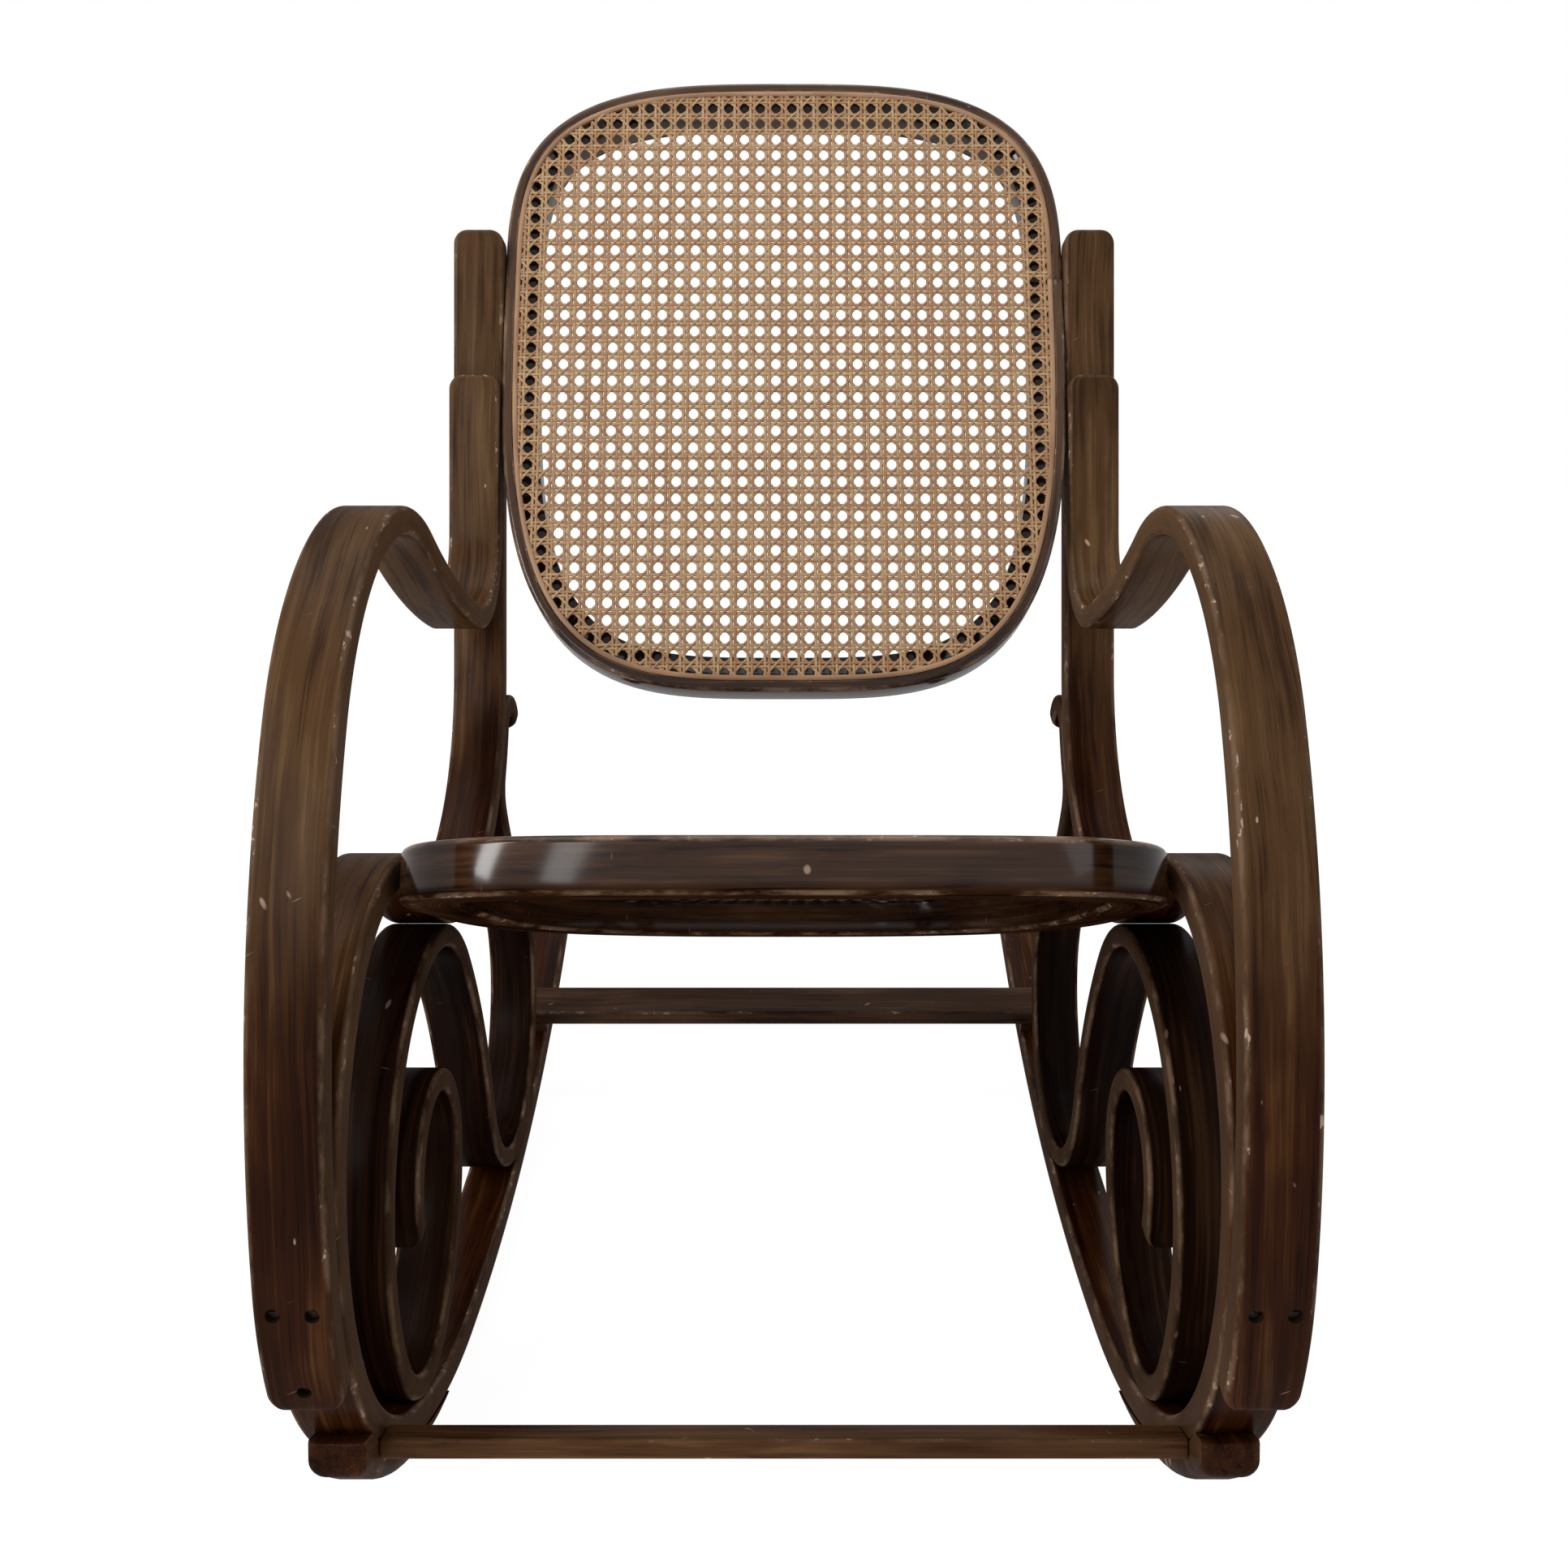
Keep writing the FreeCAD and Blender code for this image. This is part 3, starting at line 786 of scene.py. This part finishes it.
def caneFinish(g):
    own = g.attribute("strand")
    a, b = g.grain()[:2]
    fibre = g.noise(g.vector(a * 30, b * 2400, own * 40), 3.0, 0.6)
    patch = g.noise(g.vector(a * 16, own * 30, own * 17))
    node = g.noise(g.vector(a * 120, own * 90, b * 20), 1.0).ramp(0.72, 0.8)
    hue = (own * 0.7 + patch * 0.6).ramp(0.3, 1.0)
    colour = g.mixed(hue, cane["warm"], cane["pale"])
    colour = g.mixed(patch.ramp(0.52, 0.72) * 0.6, colour, cane["dull"])
    colour = g.mixed(fibre.ramp(0.5, 0.8) * 0.4, colour, cane["dark"])
    side = abs(b).ramp(0.0006, 0.00125)        # painted shade along the strands' sides, where they turn down into the weave
    colour = g.mixed(side * 0.55, colour, cane["dark"])
    return {
        "Base Color": g.mixed(node * 0.5, colour, cane["dark"]),
        "Roughness": 0.45 + fibre * 0.25,
        "Specular IOR Level": 0.3,
        "Normal": g.bump(0.3, 0.0002, fibre),
    }


def reedFinish(g):
    a, b = g.grain()[:2]
    fibre = g.noise(g.vector(a * 12, b * 1800, 0), 3.0, 0.6)
    patch = g.noise(g.vector(a * 14, b * 60, 0), 3.0, 0.6)
    colour = g.mixed(patch.ramp(0.35, 0.65), rebate["reedDeep"], rebate["reedPale"])
    return {
        "Base Color": g.mixed(fibre.ramp(0.5, 0.8) * 0.35, colour, cane["dark"]),
        "Roughness": 0.35 + patch * 0.2,
        "Specular IOR Level": 0.35,
        "Normal": g.bump(0.25, 0.0002, fibre),
    }


caneSkin = finish("natural_cane", caneFinish)
reedSkin = finish("spline_reed", reedFinish)


def caneTree(ring, layer, seed):
    # straight strands over the ring's oval, woven over and under each other
    count, samples, start, beside, onward, pairGap, sense = layer
    px, py, gap, thick = (cane[k] / 1000 for k in ("pitchX", "pitchY", "pairGap", "strandThick"))
    shiftX, shiftY = (shift / 1000 for shift in ring["holeShift"])
    paired = pairGap != (0, 0)
    g, given = growth("cane_strands", {})
    starts = g.add("MeshLine", {"Count": count, "Offset": (0, 0, 0)})
    number = g.add("CaptureAttribute", {"keep": {"Number": "FLOAT"}},
                   {"Geometry": starts, "Number": g.add("InputIndex")})
    line = g.add("CurvePrimitiveLine", {"Start": (0, 0, 0), "End": (1, 0, 0)})
    line = g.add("ResampleCurve", {"Curve": line, "Count": samples + 1})
    strands = g.add("InstanceOnPoints", {"Points": number, "Instance": line})
    strands = g.add("RealizeInstances", {0: strands})
    index = number.also("Number")
    row = (index / 2).calc("FLOOR") if paired else index
    side = index.calc("MODULO", 2.0) - 0.5
    t = g.parts(g.position())[0]
    x, y = (row * step + first + (t * way + side * apart)
            for first, step, way, apart in zip(start, beside, onward, pairGap))
    if paired:
        # distance from the nearest crossing, which lies half a pitch off the holes
        run, pitch = ((x - shiftX) / px, px) if onward[0] else ((y - shiftY) / py, py)
        crossing = ((run - run.calc("FLOOR")) - 0.5) * pitch
        wave = (crossing / gap * math.pi).calc("SINE") * (side * 2 * sense)
        lift = wave * (abs(crossing) < gap) * (cane["weave"] / 1000)
    else:
        lift = ((x - shiftX) / px * (2 * math.pi)).calc("COSINE") * (sense * cane["rise"] / 1000)
    shape = g.add("SetPosition", {
        "Geometry": strands, "Position": g.vector(x, y, lift + cane["height"] / 1000)})
    # only what lies inside the groove is kept
    inset = rebate["rim"] + cane["tuck"]
    halfWide, front, rear = ((d - inset) / 1000 for d in (ringHalf, ring["front"], ring["rear"]))
    nowX, nowY = g.parts(g.position())[:2]
    dy = nowY - ring["middle"] / 1000
    behind = dy > 0
    depth = behind * rear + (1 - behind) * front
    power = behind * ring["powers"][1] + (1 - behind) * ring["powers"][0]
    level = abs(nowX / halfWide) ** power + abs(dy / depth) ** power
    shape = g.add("DeleteGeometry", {"domain": "POINT"},
                  {"Geometry": shape, "Selection": level > 1})
    lot = g.add("RandomValue", {"data_type": "FLOAT"}, {"ID": index, "Seed": seed}, out=1)
    way = g.add("SplineParameter", out="Length")
    shape = g.add("CaptureAttribute", {"keep": {"Way": "FLOAT", "Lot": "FLOAT"}},
                  {"Geometry": shape, "Way": way, "Lot": lot})
    # a flat strand with a rounded skin
    section = g.add("CurvePrimitiveCircle", {"mode": "RADIUS"}, {"Resolution": 6, "Radius": 1.0})
    sx, sy = g.parts(g.position())[:2]
    half = cane["strandWide" if paired else "diagonalWide"] / 2000
    section = g.add("SetPosition", {
        "Geometry": section, "Position": g.vector(sx * half, sy * (thick * 0.55), 0)})
    section = g.add("CaptureAttribute", {"keep": {"Spot": "VECTOR"}},
                    {"Geometry": section, "Spot": g.position()})
    body = g.swept(shape, section)
    grain = g.vector(shape.also("Way"), *g.parts(section.also("Spot"))[:2])
    body = g.stored(body, "grain", grain, "FLOAT_VECTOR")
    body = g.stored(body, "strand", shape.also("Lot"))
    body = g.add("SetShadeSmooth", {"Geometry": body})
    return closeGrowth(g, body, given)


def weave(name, ring, place, seed):
    px, py, gap = (cane[key] / 1000 for key in ("pitchX", "pitchY", "pairGap"))
    low, high = ring["middle"] - ring["front"], ring["middle"] + ring["rear"]
    rows = int((high - low) / cane["pitchY"]) + 4
    columns = int(2 * ringHalf / cane["pitchX"]) + 4
    half, rowsLow = columns // 2, math.floor(low / cane["pitchY"]) - 1
    left = ring["holeShift"][0] / 1000 - (half + 0.5) * px
    base = ring["holeShift"][1] / 1000 + (rowsLow + 0.5) * py
    wide, long = 2 * half + 1, rows + columns + 2
    tall, broad = rows * py, rows * px
    layers = {
        # strands, samples, start, way to the next, way along, gap of a pair, sense
        "uprights": (2 * (wide + 1), rows * 6, (left, base), (px, 0), (0, tall), (gap, 0), -1.0),
        "crossings": (2 * (rows + 1), wide * 6, (left, base), (0, py), (wide * px, 0), (0, gap),
                      1.0),
        "falling": (long, rows * 8, (left + px / 2, base), (px, 0), (-broad, tall), (0, 0), -1.0),
        "rising": (long, rows * 8, (left + px / 2 - broad, base), (px, 0), (broad, tall), (0, 0),
                   1.0),
    }
    for number, (label, layer) in enumerate(layers.items()):
        piece = grow(name + "_cane_" + label, caneTree(ring, layer, seed + number),
                     {"Material": caneSkin}, place=place)
        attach(piece, "root")
        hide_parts(name + "_cane")


weave("back", back, backPlace, 10)
weave("seat", seat, seatPlace, 20)
for name, ring, place, start in rings:
    reed = sweep(name + "_spline_reed", ringStations(ring, place), splineSection(), reedSkin, 1)
    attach(reed, "root")
    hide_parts(name + "_spline")
print("cane woven")


bars = {
    "front": {"tall": 11.0, "deep": 21.0, "at": (-370.0, 45.0), "half": 219.4, "round": 2.0},
    "rear": {"tall": 15.0, "deep": 37.0, "heading": 32.55, "above": 27.0, "half": 254.5,
             "round": 2.5},
}
toe = {
    "headings": (-46.0, 2.0),        # of the band where the block starts and ends
    "leaves": -40.8,                 # the block's flat top leaves the band here
    "front": 33.0, "depths": (12.5, 0.4), "wide": 31.0,
    "noseRound": 9.0, "crownRound": 2.0, "sideRound": 8.0, "sideDraw": 0.35,
}


def barStations(bar, place):
    # straight along x, with rounded ends
    half, radius = bar["half"], bar["round"]
    ends = [(radius * rise, radius * fall) for fall, rise in quarter(4)]
    ways = [(-half + d, s) for d, s in ends]
    ways += [(-half + 2 * half * k / 40, 0.0) for k in range(1, 40)]
    ways += [(half - d, s) for d, s in reversed(ends)]
    stations = []
    for way, shrink in ways:
        def spot(across, height, way=way, shrink=shrink):
            narrow = 1 - 2 * shrink / bar["deep"], 1 - 2 * shrink / bar["tall"]
            return place @ (Vector((way, across * narrow[0], height * narrow[1])) / 1000)
        stations.append((way + half, spot))
    return stations


def barSection(bar):
    a, h, r = bar["deep"] / 2, bar["tall"] / 2, bar["round"]
    return roundedSection([(-a, -h, r), (-a, h, r), (a, h, r), (a, -h, r)])


barShare = shareAt(bandRun, 5, bars["rear"]["heading"])
barBase, barHeading = along(*bandRun[5], barShare)
barBase = shifted(barBase, leftOf(barHeading), bars["rear"]["above"])
for name, skin, middle, turn, start in (("front", frontBarWood, bars["front"]["at"], 0.0, 11.0),
                                        ("rear", rearBarWood, barBase, barHeading, 17.0)):
    bar = bars[name]
    piece = sweep(name + "_stretcher_wood", barStations(bar, seated(middle, turn)),
                  barSection(bar), skin, start)
    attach(piece, "root")
    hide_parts(name + "_stretcher")


def arcThrough(a, b, c, steps):
    # points on the circle through three points, from the first to the last
    a, b, c = complex(*a), complex(*b), complex(*c)
    w = (c - a) / (b - a)
    middle = a + (b - a) * (w - abs(w) ** 2) / (2j * w.imag)
    swing = cmath.phase((c - middle) / (a - middle))
    spots = [middle + (a - middle) * cmath.rect(1, swing * k / steps) for k in range(steps + 1)]
    return [(spot.real, spot.imag) for spot in spots]


def underBand(index, share, depth):
    point, heading = along(*bandRun[index], share)
    return shifted(point, leftOf(heading), -halfBand - depth)


toeSpan = shareAt(bandRun, 3, toe["headings"][0]), shareAt(bandRun, 4, toe["headings"][1])


def toeProfile():
    # outline in the side elevation as (u, v, how far the point follows the side rounding)
    start, end = toeSpan
    front, leaves = underBand(3, start, 0), shareAt(bandRun, 3, toe["leaves"])
    top = [underBand(3, leaves + (1 - leaves) * k / 8, 0) for k in range(9)]
    top += [underBand(4, end * k / 8, 0) for k in range(1, 9)]
    level, r, crown = top[0][1], toe["noseRound"], toe["crownRound"]
    low = arcThrough((front[0] + r, front[1] - toe["front"]), underBand(4, 0.0, toe["depths"][0]),
                     underBand(4, end, toe["depths"][1]), 16)
    nose = [(front[0] + crown * fall, level - crown * rise, 0.15) for fall, rise in quarter(4)]
    nose += [(front[0] + r * rise, low[0][1] + r * fall, 0.3 + 0.7 * k / 8)
             for k, (fall, rise) in enumerate(quarter(8))]
    under = [(u, v, min(1.0, (len(low) - 1 - k) / 6)) for k, (u, v) in enumerate(low)]
    return nose + under[1:] + [(u, v, 0.0) for u, v in reversed(top)]


def toeMesh(name, sign):
    profile, r, wide, draw = toeProfile(), toe["sideRound"], toe["wide"], toe["sideDraw"]
    steps = [r * rise for fall, rise in quarter(6)]
    rows, grains, edges, flanks = [], [], [], []
    for way in steps + [wide / 2] + [wide - d for d in reversed(steps)]:
        d = min(way, wide - way)
        lift = r - math.sqrt(r * r - (r - min(d, r)) ** 2)
        rows.append([(sign * (chair["frameHalf"] + way), u + lift * follow * draw,
                      v + lift * follow) for u, v, follow in profile])
        for u, v, follow in profile:
            grains += (u / 1000 + 5.0 + sign, way / 1000, v / 1000)
            edges.append(max(0.0, 1 - d / 4) * (0.3 + 0.5 * follow))
            flanks.append(1.0 if d == 0 else 0.0)
    piece = loft(name, rows, toeWood, grain=grains, edge=edges, flank=flanks)
    piece.data.transform(standing @ Matrix.Scale(0.001, 4))
    piece.data.polygons.foreach_set("use_smooth", [True] * len(piece.data.polygons))
    piece.data.set_sharp_from_angle(angle=sharpAngle)
    return piece


for side, sign in sides:
    piece = toeMesh(side + "_toe_block_wood", sign)
    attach(piece, "root")
    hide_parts(side + "_toe_block")
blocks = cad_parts["stretcher_blocks"]
blocks.data.materials.clear()
blocks.data.materials.append(blockWood)
print("bars and blocks made")

screws = {
    "headRadius": 4.3, "headDeep": 3.0, "slotWide": 1.1, "slotDeep": 1.3, "proud": 0.15,
    "footSize": 0.9,                                 # of the arm feet's screws beside the others
    "post": (690.0, 630.0),                          # heights on the post
    "back": ((0.5, 745.0), (4.5, 783.0)),
    "seat": ((2, 0.42), (1, 0.77)),                  # band's bend and share of it
    "scroll": ((1, 0.4, 1), (6, 0.5, -1), (8, 0.5, 1), (10, 0.5, 1)),
    "toe": ((3, 0.5, 14.0), (4, 0.35, 9.0)),
    "clean": (0.05, 0.042, 0.036), "rusty": (0.10, 0.062, 0.04),
}


def screwFinish(g):
    rust = g.noise(g.spot(), 3.0, scale=900.0)
    return {
        "Base Color": g.mixed(rust.ramp(0.4, 0.7), screws["clean"], screws["rusty"]),
        "Metallic": 0.7 + rust * 0.2, "Roughness": 0.4 + rust * 0.3,
    }


def screwTree():
    # a slotted head on each point, turned to look out along aim and spun at random
    g, given = growth("slotted_screws", {"Float": "Head Radius", "Int": "Seed"})
    deep, proud, slotWide, slotDeep = (
        screws[key] / 1000 for key in ("headDeep", "proud", "slotWide", "slotDeep"))
    body = g.add("MeshCylinder",
                 {"Vertices": 24, "Radius": given["Head Radius"], "Depth": deep})
    body = g.add("Transform",
                 {"Geometry": body, "Translation": (0, 0, proud - deep / 2)})
    slot = g.add("MeshCube",
                 {"Size": g.vector(given["Head Radius"] * 3, slotWide, slotDeep * 2)})
    slot = g.add("Transform", {"Geometry": slot, "Translation": (0, 0, proud)})
    head = g.add("MeshBoolean", {"operation": "DIFFERENCE", "solver": "EXACT"},
                 {"Mesh 1": body, "Mesh 2": slot}, out="Mesh")
    aim = g.add("InputNamedAttribute", {"data_type": "FLOAT_VECTOR"}, {"Name": "aim"},
                out="Attribute")
    turn = g.add("AlignRotationToVector", {"axis": "Z"}, {"Vector": aim})
    spin = g.add("RandomValue", {"data_type": "FLOAT"},
                 {"Max_001": math.pi, "Seed": given["Seed"]}, out=1)
    spin = g.add("EulerToRotation", {0: g.vector(0.0, 0.0, spin)})
    turn = g.add("RotateRotation", {"rotation_space": "LOCAL"}, {0: turn, 1: spin})
    heads = g.add("InstanceOnPoints",
                  {"Points": given["Geometry"], "Instance": head, "Rotation": turn})
    return closeGrowth(g, heads, given)


def screwPlaces():
    # right hand screws of each group as (place, way out), both in the side elevation
    edge = chair["frameHalf"] + chair["stripWidth"]
    half, thick = chair["stripWidth"] / 2, chair["bandThick"]
    spans = {3: (toeSpan[0], 1.0), 4: (0.0, toeSpan[1])}
    underToe = []
    for index, share, depth in screws["toe"]:
        start, end = spans[index]
        underToe.append(screwSpot(bandRun, index, start + (end - start) * share, -1,
                                  toe["wide"] / 2, thick, -depth))
    frontU, frontV = bars["front"]["at"]

    def outside(u, v):
        return (edge, u, v), (1, 0, 0)
    return {
        "arm_foot": [screwSpot(armRun, 0, share, 1, across, chair["armThick"],
                               footHoles["headDeep"]) for share, across in footHoles["spots"]],
        "arm_post": [((edge - half, halfBand, v), (0, 1, 0)) for v in screws["post"]],
        "back_ring": [outside(u, v) for u, v in screws["back"]],
        "seat_ring": [outside(*along(*bandRun[k], share)[0]) for k, share in screws["seat"]],
        "scroll": [screwSpot(scrollRun, index, share, side, half, chair["scrollThick"])
                   for index, share, side in screws["scroll"]],
        "stretcher": [screwSpot(bandRun, 5, barShare, -1, half, thick),
                      outside(frontU, frontV + 2)],
        "toe": underToe,
    }


screwSteel = finish("dull_screw_steel", screwFinish)
screwMaker = screwTree()
for number, (group, spots) in enumerate(screwPlaces().items()):
    places, aims = [], []
    for (x, u, v), out in spots:
        for sign in (-1, 1):
            places.append(placed(sign * x, u, v))
            aims.extend(aimed(out, sign))
    points = bpy.data.meshes.new("points")
    points.from_pydata(places, [], [])
    labelled(points, aim=aims)
    size = screws["footSize"] if group == "arm_foot" else 1.0
    piece = grow(group + "_screw_heads", screwMaker, {
        "Head Radius": screws["headRadius"] / 1000 * size, "Seed": number,
        "Material": screwSteel}, points)
    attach(piece, "root")
    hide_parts(group + "_screws")
print("screws set")

studio = {
    "backdrop": 1.0,                 # what the camera sees behind the chair, of white
    "roomFill": 0.33,                # what lights the chair from all sides
    "floorReach": 14.0, "floorTone": 0.95,
    "floorGlow": 0.85, "floorWhite": 1.12,      # share and strength of the floor's own white
    "lamps": [                       # place, aim, width, height, power
        ((-1.96, -1.82, 1.85), (-0.1, -0.3, 0.45), 0.42, 1.3, 40.0),
        ((-0.95, -2.45, 1.85), (0, -0.3, 0.45), 0.35, 1.0, 8.0),
        ((2.1, -1.7, 1.9), (0, 0, 0.5), 0.9, 1.2, 6.0),
        ((-0.3, 0.5, 2.8), (0, 0, 0.4), 2.2, 1.8, 24.0),
        ((0.7, 2.6, 1.6), (0, 0, 0.5), 1.4, 1.2, 11.0),
    ],
    "cameraPlace": (-1214.1, 405.0), "focal": 35.4, "sensor": 36.0, "farEnd": 100.0,
}


def seenDirectly(g):
    path = g.add("LightPath", out="Is Camera Ray")
    return path.most(path.also("Is Glossy Ray")).most(path.also("Is Transmission Ray"))


r = studio["floorReach"]
floorMesh = bpy.data.meshes.new("floor")
floorMesh.from_pydata([(-r, -r, 0), (r, -r, 0), (r, r, 0), (-r, r, 0)], [], [(0, 1, 2, 3)])
floor = linked("floor", floorMesh)
floorSkin = bpy.data.materials.new("pale_floor")
g = cleared(floorSkin)
plain = g.add("BsdfDiffuse", {"Color": [studio["floorTone"]] * 3})
glow = g.add("Emission",
             {"Color": (1, 1, 1), "Strength": studio["floorWhite"]})
mix = g.add("MixShader",
            {0: seenDirectly(g) * studio["floorGlow"], 1: plain, 2: glow})
g.add("OutputMaterial", {"Surface": mix})
floorMesh.materials.append(floorSkin)

world = bpy.data.worlds.new("studio")
bpy.context.scene.world = world
g = cleared(world)
strength = seenDirectly(g) * (studio["backdrop"] - studio["roomFill"]) + studio["roomFill"]
sky = g.add("Background", {"Color": (1, 1, 1), "Strength": strength})
g.add("OutputWorld", {"Surface": sky})

for number, (spot, aim, wide, tall, power) in enumerate(studio["lamps"]):
    lamp = bpy.data.lights.new("softbox_%d" % number, "AREA")
    lamp.shape, lamp.size, lamp.size_y, lamp.energy = "RECTANGLE", wide, tall, power
    holder = linked(lamp.name, lamp)
    holder.location = spot
    holder.rotation_euler = (Vector(aim) - Vector(spot)).to_track_quat("-Z", "Y").to_euler()
    holder.visible_camera = False

lens = bpy.data.cameras.new("camera")
lens.lens, lens.sensor_width, lens.sensor_fit = studio["focal"], studio["sensor"], "AUTO"
lens.clip_end = studio["farEnd"]
camera = linked("camera", lens)
camera.location = placed(0, *studio["cameraPlace"])
camera.rotation_euler = (math.radians(90) - lean, 0, 0)
bpy.context.scene.camera = camera
bpy.context.scene.view_settings.view_transform = "Standard"

print("scene ready")
